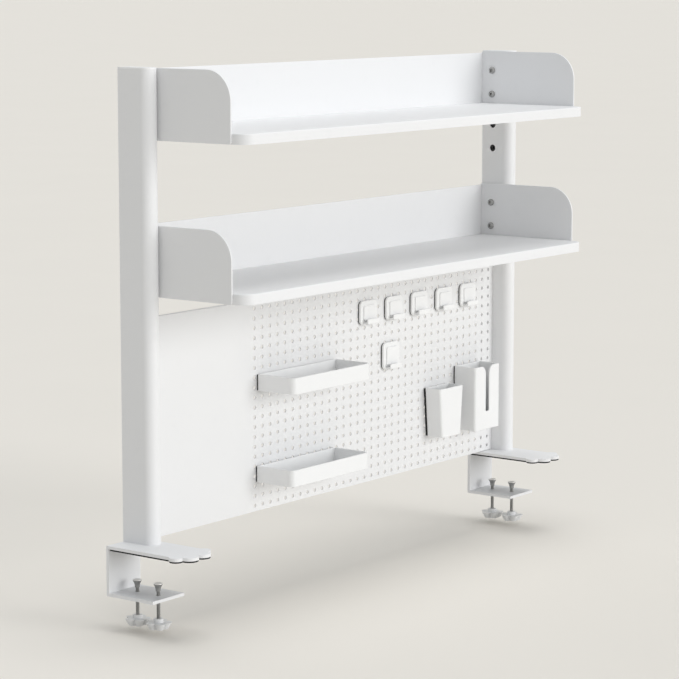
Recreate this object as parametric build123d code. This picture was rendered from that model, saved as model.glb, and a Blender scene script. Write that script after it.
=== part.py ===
from build123d import *

import math
import os

# Clamp-on desk shelf, in millimetres.
# The origin is on the desk's rear edge: X runs along that edge and is 0 midway between the posts,
# Y is 0 at the edge and falls towards the person at the desk, Z is 0 on the desk top.
# The frame is steel sheet and tube, the trays, cup, box and hooks are moulded plastic.

# Posts: tubes with a flat back and a round front
post_height = 600.0
post_width = 25.0
post_depth = 50.0
post_wall = 1.5
posts_apart = 784.0
post_back_radius = 2.0
cap_thickness = 2.0
cap_plug_depth = 10.0
cap_wall = 2.0
plug_clearance = 0.2
foot_block_height = 14.0

# Clamps: a bent steel plate round the desk edge
clamp_thickness = 4.0
clamp_width = 60.0
clamp_overhang = 31.0
clamp_throat = 55.0
clamp_top_length = 113.0
clamp_lower_length = 77.5
bend_outer_radius = 1.5
bend_inner_radius = 1.0
outer_lobe_radius = 9.0
outer_lobe_inset = 3.5
inner_lobe_radius = 12.0
inner_lobe_spacing = 23.0
inner_lobe_reach = 9.0
desk_pad_thickness = 2.0
desk_pad_setback = 2.0

# Screws that hold the posts on the clamps
foot_screw_diameter = 6.0
foot_screw_head = 11.5
foot_screw_head_height = 3.0
foot_screw_socket = 4.0
foot_screw_socket_depth = 2.5
foot_screw_spacing = 20.0
foot_screw_setback = 14.0
foot_screw_length = 14.0

# Clamp screws: threaded rod, pressure pad above, star knob below
rod_diameter = 5.0
rod_fit = 0.06
rod_setback = 21.0
rod_spacing = 35.0
rod_pad_top = -39.6
pad_height = 10.0
pad_top_diameter = 11.6
pad_neck_diameter = 6.4
pad_waist_diameter = 6.5
pad_waist_height = 3.5
pad_rim = 1.2
pad_socket_depth = 6.5
pad_socket_gap = 0.3
rod_length = 52.6
hub_diameter = 13.0
hub_height = 4.7
knob_diameter = 34.5
knob_height = 8.5
knob_foot_share = 0.72
knob_lobes = 5
knob_lobe_radius = 6.2
knob_socket_floor = 2.0
clamp_nut_flats = 8.0
clamp_nut_height = 4.0
clamp_nut_collar = 7.0
collar_clearance = 0.1

# Shelves: a pressed pan between two end plates, with a back plate
shelf_below_post_top = 1.0
shelf_spacing = 196.0
end_plate_height = 90.0
end_plate_depth = 161.2
end_plate_thickness = 2.5
end_plate_corner_radius = 38.0
end_plate_small_radius = 3.0
edge_round = 0.6
board_height = 13.5
board_overhang = 22.0
board_sheet = 1.2
board_corner_radius = 20.0
board_edge_round = 1.6
back_plate_thickness = 1.5
back_plate_drop = 2.5
rail_width = 34.0
rail_height = 9.0
rail_sheet = 1.2
rail_lip = 10.0

# Screws that hold the shelves, and the nut plates inside the posts
shelf_screw_diameter = 6.0
shelf_screw_head = 10.0
shelf_screw_head_height = 3.0
shelf_screw_head_round = 1.8
shelf_screw_length = 11.0
shelf_screw_socket = 4.0
shelf_screw_socket_depth = 2.0
shelf_screw_drop = 28.2
shelf_screw_spacing = 35.0
shelf_screw_setback = 19.5
spare_holes_drop = 80.0
screw_hole_clearance = 0.4
post_hole_diameter = 10.0
nut_plate_thickness = 3.0
nut_plate_width = 22.0
nut_plate_length = 56.0
thread_clearance = 0.1

# Perforated panel between the posts
panel_sheet = 1.2
panel_front_setback = 21.7
panel_bottom_gap = 0.6
panel_top_gap = 28.0
panel_side_flange = 17.0
panel_hem = 8.0
hole_diameter = 5.0
hole_columns = 35
hole_pitch_x = 16.35
hole_pitch_z = 13.33
hole_margin_right = 12.2
hole_margin_top = 10.1
hole_margin_bottom = 7.0
panel_screw_diameter = 5.0
panel_screw_head = 9.0
panel_screw_head_height = 2.6
panel_screw_head_round = 1.5
panel_screw_length = 9.0
panel_screw_socket = 3.0
panel_screw_socket_depth = 1.7
panel_screw_setback = 9.0
panel_screw_inset = 42.0
panel_nut_flats = 8.0
panel_nut_height = 4.0

# Loose accessories: each holds on the panel by a magnet sheet on its back
magnet_sheet_thickness = 2.0
magnet_sheet_inset = 0.8

tray_width = 171.0
tray_depth = 61.0
tray_height = 22.5
tray_wall = 2.0
tray_corner_radius = 8.0

cup_top_width = 60.0
cup_bottom_width = 48.0
cup_depth = 28.0
cup_height = 72.0
cup_wall = 2.0
cup_corner_radius = 4.0

box_width = 64.0
box_depth = 37.5
box_height = 94.8
box_wall = 2.5
box_corner_radius = 4.0
box_slot_width = 9.0
box_slot_floor = 27.0
box_mouth_radius = 12.0

hook_width = 39.0
hook_height = 33.6
tall_hook_height = 38.7
hook_plate_thickness = 3.0
hook_corner_radius = 7.0
hook_face_border = 6.5
hook_face_radius = 2.5
hook_face_thickness = 1.6
hook_lip_width = 27.0
hook_lip_reach = 4.8
hook_lip_height = 7.0
hook_lip_thickness = 2.2
hook_lip_rise = 1.5
small_round = 0.8

# Cuts run this far past the faces that they open
cut_past = 1.0

# Where each accessory sits: its middle from the panel's right edge, and from its top or bottom edge
upper_tray_from_right = 478.0
upper_tray_below_top = 110.0
lower_tray_from_right = 481.0
lower_tray_above_bottom = 50.7
cup_from_right = 148.8
cup_above_bottom = 80.6
box_from_right = 70.0
box_above_bottom = 92.3
first_hook_from_right = 318.9
hook_pitch = 61.9
hooks_in_row = 5
hook_row_below_top = 41.4
tall_hook_from_right = 264.3
tall_hook_below_top = 108.9

# Values that follow from the ones above
half_gap = posts_apart / 2
plate_top = desk_pad_thickness + clamp_thickness
post_top = plate_top + post_height
frame_back = clamp_thickness
lower_plate_top = -clamp_throat
lower_plate_bottom = lower_plate_top - clamp_thickness
post_middle = half_gap + post_width / 2
post_middles = {"left": -post_middle, "right": post_middle}
inward = {"left": 1, "right": -1}
screw_line_y = frame_back - shelf_screw_setback
shelf_tops = {
    "upper": post_top - shelf_below_post_top,
    "lower": post_top - shelf_below_post_top - shelf_spacing,
}
panel_front = frame_back - panel_front_setback
panel_bottom = plate_top + panel_bottom_gap
panel_top = shelf_tops["lower"] - end_plate_height - panel_top_gap
panel_height = panel_top - panel_bottom
hole_rows = int((panel_height - hole_margin_top - hole_margin_bottom) / hole_pitch_z) + 1
rod_places = {"rear": -rod_setback, "front": -rod_setback - rod_spacing}
shelf_screw_head_sizes = (shelf_screw_head, shelf_screw_head_height, shelf_screw_head_round,
                          shelf_screw_socket, shelf_screw_socket_depth)
panel_screw_head_sizes = (panel_screw_head, panel_screw_head_height, panel_screw_head_round,
                          panel_screw_socket, panel_screw_socket_depth)


def save(name, shape):
    export_step(shape, "parts/" + name + ".step")


def box_between(low, high):
    """A box from its lowest corner to its highest."""
    size = [b - a for a, b in zip(low, high)]
    middle = [(a + b) / 2 for a, b in zip(low, high)]
    return Pos(*middle) * Box(*size)


def rod_x(radius, x_from, x_to, y, z):
    """A cylinder along X."""
    middle = (x_from + x_to) / 2
    return Pos(middle, y, z) * Rot(0, 90, 0) * Cylinder(radius, abs(x_to - x_from))


def rod_y(radius, y_from, y_to, x, z):
    """A cylinder along Y."""
    middle = (y_from + y_to) / 2
    return Pos(x, middle, z) * Rot(90, 0, 0) * Cylinder(radius, abs(y_to - y_from))


def rod_z(radius, z_from, z_to, x, y):
    """A cylinder along Z."""
    return Pos(x, y, (z_from + z_to) / 2) * Cylinder(radius, abs(z_to - z_from))


def edges_along(shape, axis, near):
    """Straight edges along an axis whose middle lies near the given coordinates."""
    found = []
    for edge in shape.edges().filter_by(axis):
        middle = edge.center()
        place = {"x": middle.X, "y": middle.Y, "z": middle.Z}
        if all(abs(place[key] - value) < 0.05 for key, value in near.items()):
            found.append(edge)
    return found


def hexagon_prism(flats, height):
    return extrude(RegularPolygon(flats / 2, 6, major_radius=False), amount=height)


# Posts

def post_section(inset):
    """Section of the post drawn in by an inset, with its back on the frame's back plane."""
    half = post_width / 2 - inset
    round_y = frame_back - (post_depth - post_width / 2)
    back_y = frame_back - inset
    flat = Pos(0, (round_y + back_y) / 2) * Rectangle(2 * half, back_y - round_y)
    return flat + Pos(0, round_y) * Circle(half)


def pair_heights(shelf_top):
    first = shelf_top - shelf_screw_drop
    return [first, first - shelf_screw_spacing]


def shelf_hole_heights():
    """Heights of the three pairs of shelf holes: both shelves, and the spare pair."""
    upper = pair_heights(shelf_tops["upper"])
    spare = [z - spare_holes_drop for z in upper]
    return upper + spare + pair_heights(shelf_tops["lower"])


def panel_screw_heights():
    return [panel_bottom + panel_screw_inset, panel_top - panel_screw_inset]


def make_post(side):
    middle = post_middles[side]
    tube_height = post_height - cap_thickness
    section = post_section(0) - post_section(post_wall)
    tube = extrude(Pos(middle, 0, plate_top) * section, amount=tube_height)
    back_edges = edges_along(tube, Axis.Z, {"x": middle - post_width / 2, "y": frame_back})
    back_edges += edges_along(tube, Axis.Z, {"x": middle + post_width / 2, "y": frame_back})
    tube = fillet(back_edges, post_back_radius)
    inner_face = middle + inward[side] * post_width / 2
    inside = inner_face - inward[side] * (post_wall + cut_past)
    outside = inner_face + inward[side] * cut_past
    for z in shelf_hole_heights():
        tube -= rod_x(post_hole_diameter / 2, inside, outside, screw_line_y, z)
    radius = (panel_screw_diameter + screw_hole_clearance) / 2
    for z in panel_screw_heights():
        tube -= rod_x(radius, inside, outside, frame_back - panel_screw_setback, z)
    return tube


def make_cap(side):
    """Plastic plug that closes the top of a post."""
    middle = post_middles[side]
    lid = extrude(Pos(middle, 0, post_top - cap_thickness) * post_section(0), amount=cap_thickness)
    lid = fillet(lid.edges().group_by(Axis.Z)[-1], small_round)
    outer = post_section(post_wall + plug_clearance)
    inner = post_section(post_wall + plug_clearance + cap_wall)
    plug_base = post_top - cap_thickness - cap_plug_depth
    plug = extrude(Pos(middle, 0, plug_base) * (outer - inner), amount=cap_plug_depth)
    return lid + plug


def foot_screw_places(side):
    first = frame_back - foot_screw_setback
    return [(post_middles[side], first), (post_middles[side], first - foot_screw_spacing)]


def make_foot_block(side):
    """Threaded block welded into the foot of a post."""
    section = post_section(post_wall + plug_clearance)
    block = extrude(Pos(post_middles[side], 0, plate_top) * section, amount=foot_block_height)
    for x, y in foot_screw_places(side):
        radius = (foot_screw_diameter + thread_clearance) / 2
        block -= rod_z(radius, plate_top - cut_past, plate_top + foot_block_height + cut_past, x, y)
    return block


def countersunk(x, y, head, shank, height):
    """Head cone that narrows upwards from the underside of the top plate, with its shank."""
    cone = Pos(x, y, desk_pad_thickness + height / 2) * Cone(head / 2, shank / 2, height)
    return cone + rod_z(shank / 2, desk_pad_thickness, desk_pad_thickness + foot_screw_length, x, y)


def make_foot_screws():
    screws = []
    for side in post_middles:
        for x, y in foot_screw_places(side):
            screw = countersunk(x, y, foot_screw_head, foot_screw_diameter, foot_screw_head_height)
            key = hexagon_prism(foot_screw_socket, cut_past + foot_screw_socket_depth)
            screws.append(screw - Pos(x, y, desk_pad_thickness - cut_past) * key)
    return Compound(children=screws)


# Clamps

def clamp_left_edge(side):
    return post_middles[side] - post_width / 2 - clamp_overhang


def clamp_plan(side, back_y, inset):
    """Plan of the top plate: straight sides and four round lobes in front."""
    left = clamp_left_edge(side)
    middle = left + clamp_width / 2
    lobe_y = frame_back - clamp_top_length
    body = Pos(middle, (back_y + lobe_y) / 2) * Rectangle(clamp_width - 2 * inset, back_y - lobe_y)
    outer_offset = clamp_width / 2 - outer_lobe_inset
    inner_offset = inner_lobe_spacing / 2
    inner_y = lobe_y - inner_lobe_reach
    left_middles = [(middle - outer_offset, lobe_y), (middle - inner_offset, inner_y)]
    right_middles = [(middle + inner_offset, inner_y), (middle + outer_offset, lobe_y)]
    between_lobes = make_face(Polyline(*left_middles, *right_middles, close=True))
    plan = body + between_lobes
    for way in (-1, 1):
        plan += Pos(middle + way * outer_offset, lobe_y) * Circle(outer_lobe_radius - inset)
        plan += Pos(middle + way * inner_offset, inner_y) * Circle(inner_lobe_radius - inset)
    return plan


def make_bracket(side):
    left = clamp_left_edge(side)
    right = left + clamp_width
    top = extrude(Pos(0, 0, desk_pad_thickness) * clamp_plan(side, frame_back, 0), amount=clamp_thickness)
    back = box_between((left, 0, lower_plate_bottom), (right, frame_back, plate_top))
    lower_front = frame_back - clamp_lower_length
    lower = box_between((left, lower_front, lower_plate_bottom), (right, frame_back, lower_plate_top))
    bracket = top + back + lower
    outer = edges_along(bracket, Axis.X, {"y": frame_back, "z": plate_top})
    outer += edges_along(bracket, Axis.X, {"y": frame_back, "z": lower_plate_bottom})
    bracket = fillet(outer, bend_outer_radius)
    inner = edges_along(bracket, Axis.X, {"y": 0, "z": desk_pad_thickness})
    inner += edges_along(bracket, Axis.X, {"y": 0, "z": lower_plate_top})
    bracket = fillet(inner, bend_inner_radius)
    for x, y in foot_screw_places(side):
        gap = screw_hole_clearance
        bracket -= countersunk(x, y, foot_screw_head + gap, foot_screw_diameter + gap,
                               foot_screw_head_height + gap)
    for y in rod_places.values():
        radius = (clamp_nut_collar + collar_clearance) / 2
        bracket -= rod_z(radius, lower_plate_bottom - cut_past, lower_plate_top + cut_past,
                         rod_x_place(side), y)
    return bracket


def rod_x_place(side):
    return clamp_left_edge(side) + clamp_width / 2


def make_desk_pad(side):
    plan = clamp_plan(side, -desk_pad_setback, edge_round)
    return extrude(plan, amount=desk_pad_thickness)


def make_clamp_nuts():
    """Nuts pressed into the lower plates from below."""
    nuts = []
    for side in post_middles:
        for y in rod_places.values():
            x = rod_x_place(side)
            base = lower_plate_bottom - clamp_nut_height
            nut = Pos(x, y, base) * hexagon_prism(clamp_nut_flats, clamp_nut_height)
            nut += rod_z(clamp_nut_collar / 2, lower_plate_bottom, lower_plate_top, x, y)
            bore = rod_diameter / 2 + rod_fit
            nut -= rod_z(bore, base - cut_past, lower_plate_top + cut_past, x, y)
            nuts.append(nut)
    return Compound(children=nuts)


def make_screw_pad(x, y):
    """Pressure pad with a socket from below, in which the rod's end turns."""
    base = rod_pad_top - pad_height
    foot = (pad_neck_diameter / 2, base)
    waist = (pad_waist_diameter / 2, base + pad_waist_height)
    rim = (pad_top_diameter / 2, rod_pad_top - pad_rim)
    side = Spline(foot, waist, rim)
    rest = Polyline(rim, (pad_top_diameter / 2, rod_pad_top), (0, rod_pad_top), (0, base), foot)
    pad = Pos(x, y, 0) * revolve(Plane.XZ * make_face(side + rest), Axis.Z)
    return pad - rod_z(rod_diameter / 2 + rod_fit, base - cut_past, base + pad_socket_depth, x, y)


def make_screw_rod(x, y):
    top = rod_pad_top - pad_height + pad_socket_depth - pad_socket_gap
    rod = rod_z(rod_diameter / 2, top - rod_length, top, x, y)
    return chamfer(rod.edges(), small_round)


def star_outline(diameter, lobe_radius):
    """Outline of the star knob: round lobes about a round middle."""
    reach = diameter / 2 - lobe_radius
    outline = Circle(reach)
    for number in range(knob_lobes):
        angle = math.radians(90 + 360 / knob_lobes * number)
        outline += Pos(reach * math.cos(angle), reach * math.sin(angle)) * Circle(lobe_radius)
    return outline


def make_screw_knob(x, y):
    """Star knob that narrows downwards, with a hub above and the rod moulded in."""
    rod_top = rod_pad_top - pad_height + pad_socket_depth - pad_socket_gap
    rod_end = rod_top - rod_length
    bottom = rod_end - knob_socket_floor
    knob_top = bottom + knob_height
    star = star_outline(knob_diameter, knob_lobe_radius)
    foot = scale(star, by=(knob_foot_share, knob_foot_share, 1))
    body = loft([Pos(x, y, bottom) * foot.face(), Pos(x, y, knob_top) * star.face()])
    hub = rod_z(hub_diameter / 2, knob_top, knob_top + hub_height, x, y)
    hub = fillet(hub.edges().group_by(Axis.Z)[-1], small_round)
    return body + hub - rod_z(rod_diameter / 2, rod_end, knob_top + hub_height + cut_past, x, y)


# Shelves

def make_board(shelf_top):
    """Pan pressed from sheet, open below, with round front corners."""
    half = half_gap - end_plate_thickness
    rear = frame_back - back_plate_thickness
    front = frame_back - end_plate_depth - board_overhang
    base = shelf_top - end_plate_height
    top = base + board_height
    pan = box_between((-half, front, base), (half, rear, top))
    corners = edges_along(pan, Axis.Z, {"x": -half, "y": front})
    corners += edges_along(pan, Axis.Z, {"x": half, "y": front})
    pan = fillet(corners, board_corner_radius)
    pan = fillet(pan.edges().group_by(Axis.Z)[-1], board_edge_round)
    t = board_sheet
    hollow = box_between((-half + t, front + t, base - cut_past), (half - t, rear - t, top - t))
    corners = edges_along(hollow, Axis.Z, {"x": -half + t, "y": front + t})
    corners += edges_along(hollow, Axis.Z, {"x": half - t, "y": front + t})
    return pan - fillet(corners, board_corner_radius - t)


def make_rail(shelf_top):
    """Hat-shaped stiffening rail welded under the board."""
    half = half_gap - end_plate_thickness - board_sheet
    top = shelf_top - end_plate_height + board_height - board_sheet
    middle = frame_back - (end_plate_depth + board_overhang) / 2
    base = top - rail_height
    low_y = middle - rail_width / 2
    high_y = middle + rail_width / 2
    hat = box_between((-half, low_y, base), (half, high_y, top))
    t = rail_sheet
    hat -= box_between((-half - cut_past, low_y + t, base + t), (half + cut_past, high_y - t, top + cut_past))
    hat += box_between((-half, low_y - rail_lip, top - t), (half, low_y + t, top))
    hat += box_between((-half, high_y - t, top - t), (half, high_y + rail_lip, top))
    return hat


def make_back_plate(shelf_top):
    half = half_gap - end_plate_thickness
    base = shelf_top - end_plate_height
    top = shelf_top - back_plate_drop
    plate = box_between((-half, frame_back - back_plate_thickness, base), (half, frame_back, top))
    return fillet(edges_along(plate, Axis.X, {"z": top}), edge_round)


def end_plate_outline(shelf_top):
    """Side view of an end plate, drawn in Y and Z."""
    base = shelf_top - end_plate_height
    front = frame_back - end_plate_depth
    middle = ((front + frame_back) / 2, (base + shelf_top) / 2)
    outline = Pos(*middle) * Rectangle(end_plate_depth, end_plate_height)
    corners = outline.vertices()
    front_corners = corners.group_by(Axis.X)[0].sort_by(Axis.Y)
    back_corners = corners.group_by(Axis.X)[-1]
    outline = fillet(front_corners[-1], end_plate_corner_radius)
    small = [v for v in outline.vertices() if any((v.center() - c.center()).length < 0.01
                                                  for c in [front_corners[0], *back_corners])]
    return fillet(small, end_plate_small_radius)


def make_end_plate(shelf_top, side):
    outer = -inward[side] * half_gap
    low_x = min(outer, outer + inward[side] * end_plate_thickness)
    plate = extrude(Plane.YZ * end_plate_outline(shelf_top), amount=end_plate_thickness)
    plate = Pos(low_x, 0, 0) * plate
    inner_face = plate.faces().sort_by(Axis.X)[-1 if side == "left" else 0]
    plate = fillet(inner_face.outer_wire().edges(), edge_round)
    radius = (shelf_screw_diameter + screw_hole_clearance) / 2
    for z in pair_heights(shelf_top):
        plate -= rod_x(radius, low_x - cut_past, low_x + end_plate_thickness + cut_past, screw_line_y, z)
    return plate


def button_screw(side, face_x, y, z, diameter, length, head_sizes):
    """Round-headed socket screw that goes from a face into the post at its side."""
    head, head_height, head_round, socket, socket_depth = head_sizes
    way = inward[side]
    screw = rod_x(head / 2, face_x, face_x + way * head_height, y, z)
    far_edge = screw.edges().sort_by(Axis.X)[-1 if way > 0 else 0]
    screw = fillet(far_edge, head_round)
    screw += rod_x(diameter / 2, face_x - way * length, face_x, y, z)
    socket_floor = face_x + way * (head_height - socket_depth)
    socket_mouth = face_x + way * (head_height + cut_past)
    key = Rot(0, 90, 0) * hexagon_prism(socket, abs(socket_mouth - socket_floor))
    return screw - Pos(min(socket_floor, socket_mouth), y, z) * key


def make_shelf_screws():
    screws = []
    for shelf_top in shelf_tops.values():
        for side in post_middles:
            face_x = -inward[side] * (half_gap - end_plate_thickness)
            for z in pair_heights(shelf_top):
                screws.append(button_screw(side, face_x, screw_line_y, z, shelf_screw_diameter,
                                           shelf_screw_length, shelf_screw_head_sizes))
    return Compound(children=screws)


def make_nut_plates():
    """Plates inside the posts: each has two threaded collars that sit in the post's holes."""
    plates = []
    for shelf_top in shelf_tops.values():
        for side in post_middles:
            way = inward[side]
            wall_inside = -way * (half_gap + post_wall)
            far = wall_inside - way * nut_plate_thickness
            heights = pair_heights(shelf_top)
            middle_z = sum(heights) / 2
            low_x, high_x = sorted((wall_inside, far))
            half_y = nut_plate_width / 2
            half_z = nut_plate_length / 2
            plate = box_between((low_x, screw_line_y - half_y, middle_z - half_z),
                                (high_x, screw_line_y + half_y, middle_z + half_z))
            outer_face = -way * half_gap
            for z in heights:
                collar = (post_hole_diameter - screw_hole_clearance) / 2
                plate += rod_x(collar, wall_inside, outer_face, screw_line_y, z)
                thread = (shelf_screw_diameter + thread_clearance) / 2
                plate -= rod_x(thread, far - way * cut_past, outer_face + way * cut_past, screw_line_y, z)
            plates.append(plate)
    return Compound(children=plates)


# Perforated panel

def make_panel():
    """Perforated front sheet, blank at its left end."""
    outer = Wire.make_polygon([
        Vector(-half_gap, panel_front, panel_bottom),
        Vector(half_gap, panel_front, panel_bottom),
        Vector(half_gap, panel_front, panel_top),
        Vector(-half_gap, panel_front, panel_top),
    ])
    last_x = half_gap - hole_margin_right
    first_z = panel_top - hole_margin_top
    holes = []
    for column in range(hole_columns):
        for row in range(hole_rows):
            origin = (last_x - column * hole_pitch_x, panel_front, first_z - row * hole_pitch_z)
            plane = Plane(origin=origin, x_dir=(1, 0, 0), z_dir=(0, 1, 0))
            holes.append(Wire.make_circle(hole_diameter / 2, plane))
    return Solid.extrude(Face(outer, holes), Vector(0, panel_sheet, 0))


def make_panel_flanges():
    """Folds behind the sheet: side flanges that the posts take, and hems above and below."""
    rear = panel_front + panel_sheet
    flange_end = panel_front + panel_side_flange
    hem_end = panel_front + panel_hem
    t = panel_sheet
    hem_x = half_gap - t
    flanges = []
    for side in post_middles:
        face = -inward[side] * half_gap
        low_x, high_x = sorted((face, face + inward[side] * t))
        flange = box_between((low_x, rear, panel_bottom), (high_x, flange_end, panel_top))
        radius = (panel_screw_diameter + screw_hole_clearance) / 2
        for z in panel_screw_heights():
            y = frame_back - panel_screw_setback
            flange -= rod_x(radius, low_x - cut_past, high_x + cut_past, y, z)
        flanges.append(flange)
    flanges.append(box_between((-hem_x, rear, panel_bottom), (hem_x, hem_end, panel_bottom + t)))
    flanges.append(box_between((-hem_x, rear, panel_top - t), (hem_x, hem_end, panel_top)))
    return Compound(children=flanges)


def make_panel_screws():
    screws = []
    for side in post_middles:
        face_x = -inward[side] * (half_gap - panel_sheet)
        for z in panel_screw_heights():
            screws.append(button_screw(side, face_x, frame_back - panel_screw_setback, z,
                                       panel_screw_diameter, panel_screw_length, panel_screw_head_sizes))
    return Compound(children=screws)


def make_panel_nuts():
    """Nuts welded inside the posts for the panel's screws."""
    nuts = []
    for side in post_middles:
        way = inward[side]
        near = -way * (half_gap + post_wall)
        low_x = min(near, near - way * panel_nut_height)
        for z in panel_screw_heights():
            y = frame_back - panel_screw_setback
            nut = Pos(low_x, y, z) * Rot(0, 90, 0) * hexagon_prism(panel_nut_flats, panel_nut_height)
            radius = (panel_screw_diameter + thread_clearance) / 2
            nuts.append(nut - rod_x(radius, low_x - cut_past, low_x + panel_nut_height + cut_past, y, z))
    return Compound(children=nuts)


# Accessories: each is drawn about its own middle, with its back at Y 0

def on_panel(from_right, z):
    """Place of an accessory's middle, with its magnet sheet on the panel."""
    return Pos(half_gap - from_right, panel_front - magnet_sheet_thickness, z)


def trapezium(bottom, top, height):
    """Outline about its own middle, with different widths below and above."""
    low = -height / 2
    high = height / 2
    corners = [(-bottom / 2, low), (bottom / 2, low), (top / 2, high), (-top / 2, high)]
    return Polygon(*corners, align=None)


def rounded_block(width, depth, height, radius):
    """Block behind which the back stays square and whose front corners are round."""
    block = box_between((-width / 2, -depth, -height / 2), (width / 2, 0, height / 2))
    front = edges_along(block, Axis.Z, {"x": -width / 2, "y": -depth})
    front += edges_along(block, Axis.Z, {"x": width / 2, "y": -depth})
    return fillet(front, radius)


def hollowed(block, width, depth, height, radius, wall):
    """Cut an open-topped hollow that leaves a wall all round and a floor."""
    core = box_between((-width / 2 + wall, -depth + wall, -height / 2 + wall),
                       (width / 2 - wall, -wall, height / 2 + cut_past))
    corners = edges_along(core, Axis.Z, {"x": -width / 2 + wall, "y": -depth + wall})
    corners += edges_along(core, Axis.Z, {"x": width / 2 - wall, "y": -depth + wall})
    return block - fillet(corners, radius - wall)


def make_tray():
    block = rounded_block(tray_width, tray_depth, tray_height, tray_corner_radius)
    return hollowed(block, tray_width, tray_depth, tray_height, tray_corner_radius, tray_wall)


def cup_loft(inset, bottom_z, top_z):
    """Tapered body between two heights, drawn in by an inset on every side."""
    sections = []
    for z in (bottom_z, top_z):
        share = (z + cup_height / 2) / cup_height
        width = cup_bottom_width + (cup_top_width - cup_bottom_width) * share
        outline = RectangleRounded(width - 2 * inset, cup_depth - 2 * inset, cup_corner_radius - inset)
        sections.append(Pos(0, -cup_depth / 2, z) * outline.face())
    return loft(sections, ruled=True)


def make_cup():
    outer = cup_loft(0, -cup_height / 2, cup_height / 2)
    inner = cup_loft(cup_wall, -cup_height / 2 + cup_wall, cup_height / 2 + cut_past)
    return outer - inner


def make_box():
    block = rounded_block(box_width, box_depth, box_height, box_corner_radius)
    box = hollowed(block, box_width, box_depth, box_height, box_corner_radius, box_wall)
    half_slot = box_slot_width / 2
    floor = -box_height / 2 + box_slot_floor
    top = box_height / 2
    r = box_mouth_radius
    front = -box_depth - cut_past
    back = -box_depth + box_wall + cut_past
    box -= box_between((-half_slot, front, floor), (half_slot, back, top + cut_past))
    for way in (-1, 1):
        inner_x, outer_x = sorted((way * half_slot, way * (half_slot + r)))
        corner = box_between((inner_x, front, top - r), (outer_x, back, top + cut_past))
        corner -= rod_y(r, front - cut_past, back + cut_past, way * (half_slot + r), top - r)
        box -= corner
    return box


def rounded_plate(width, height, radius, y_from, y_to):
    """Rounded-square plate across Y."""
    outline = Plane.XZ * RectangleRounded(width, height, radius)
    return Pos(0, y_from, 0) * extrude(outline, amount=y_from - y_to)


def make_hook(height):
    """Plate with a raised face and an upturned lip below."""
    plate = rounded_plate(hook_width, height, hook_corner_radius, 0, -hook_plate_thickness)
    plate = fillet(plate.faces().sort_by(Axis.Y)[0].outer_wire().edges(), small_round)
    face_y = -hook_plate_thickness - hook_face_thickness
    border = 2 * hook_face_border
    face = rounded_plate(hook_width - border, height - border, hook_face_radius,
                         -hook_plate_thickness, face_y)
    face = fillet(face.faces().sort_by(Axis.Y)[0].outer_wire().edges(), small_round)
    half = hook_lip_width / 2
    low = -height / 2 + hook_lip_rise
    floor_front = face_y - hook_lip_reach
    lip_front = floor_front - hook_lip_thickness
    floor = box_between((-half, lip_front, low), (half, -hook_plate_thickness, low + hook_lip_thickness))
    lip = box_between((-half, lip_front, low), (half, floor_front, low + hook_lip_height))
    arm = floor + lip
    arm = fillet(arm.faces().sort_by(Axis.Y)[0].outer_wire().edges(), small_round)
    return plate + face + arm


def save_accessory(name, shape, sheet_outline, where):
    sheet = extrude(Plane.XZ * sheet_outline, amount=-magnet_sheet_thickness)
    save(name, where * shape)
    save(name + "_magnet_sheet", where * sheet)


def save_accessories():
    border = 2 * magnet_sheet_inset
    outline = Rectangle(tray_width - border, tray_height - border)
    where = on_panel(upper_tray_from_right, panel_top - upper_tray_below_top)
    save_accessory("upper_tray", make_tray(), outline, where)
    where = on_panel(lower_tray_from_right, panel_bottom + lower_tray_above_bottom)
    save_accessory("lower_tray", make_tray(), outline, where)

    outline = trapezium(cup_bottom_width - border, cup_top_width - border, cup_height - border)
    where = on_panel(cup_from_right, panel_bottom + cup_above_bottom)
    save_accessory("pen_cup", make_cup(), outline, where)

    outline = Rectangle(box_width - border, box_height - border)
    where = on_panel(box_from_right, panel_bottom + box_above_bottom)
    save_accessory("slotted_box", make_box(), outline, where)

    sheet_radius = hook_corner_radius - magnet_sheet_inset
    outline = RectangleRounded(hook_width - border, hook_height - border, sheet_radius)
    for number in range(hooks_in_row):
        where = on_panel(first_hook_from_right - number * hook_pitch, panel_top - hook_row_below_top)
        save_accessory("hook_" + str(number + 1), make_hook(hook_height), outline, where)
    outline = RectangleRounded(hook_width - border, tall_hook_height - border, sheet_radius)
    where = on_panel(tall_hook_from_right, panel_top - tall_hook_below_top)
    save_accessory("tall_hook", make_hook(tall_hook_height), outline, where)


def main():
    os.makedirs("parts", exist_ok=True)
    for side in post_middles:
        save(side + "_post", make_post(side))
        save(side + "_post_cap", make_cap(side))
        save(side + "_clamp_bracket", make_bracket(side))
        save(side + "_desk_pad", make_desk_pad(side))
        for row, y in rod_places.items():
            x = rod_x_place(side)
            save(side + "_" + row + "_screw_pad", make_screw_pad(x, y))
            save(side + "_" + row + "_screw_rod", make_screw_rod(x, y))
            save(side + "_" + row + "_screw_knob", make_screw_knob(x, y))
    save("post_foot_blocks", Compound(children=[make_foot_block(side) for side in post_middles]))
    save("post_foot_screws", make_foot_screws())
    save("clamp_nuts", make_clamp_nuts())

    for level, shelf_top in shelf_tops.items():
        save(level + "_shelf_board", make_board(shelf_top))
        save(level + "_shelf_rail", make_rail(shelf_top))
        save(level + "_back_plate", make_back_plate(shelf_top))
        for side in post_middles:
            save(level + "_" + side + "_end_plate", make_end_plate(shelf_top, side))
    save("shelf_screws", make_shelf_screws())
    save("post_nut_plates", make_nut_plates())

    save("panel", make_panel())
    save("panel_flanges", make_panel_flanges())
    save("panel_screws", make_panel_screws())
    save("panel_nuts", make_panel_nuts())

    save_accessories()


main()
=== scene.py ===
import math

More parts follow.
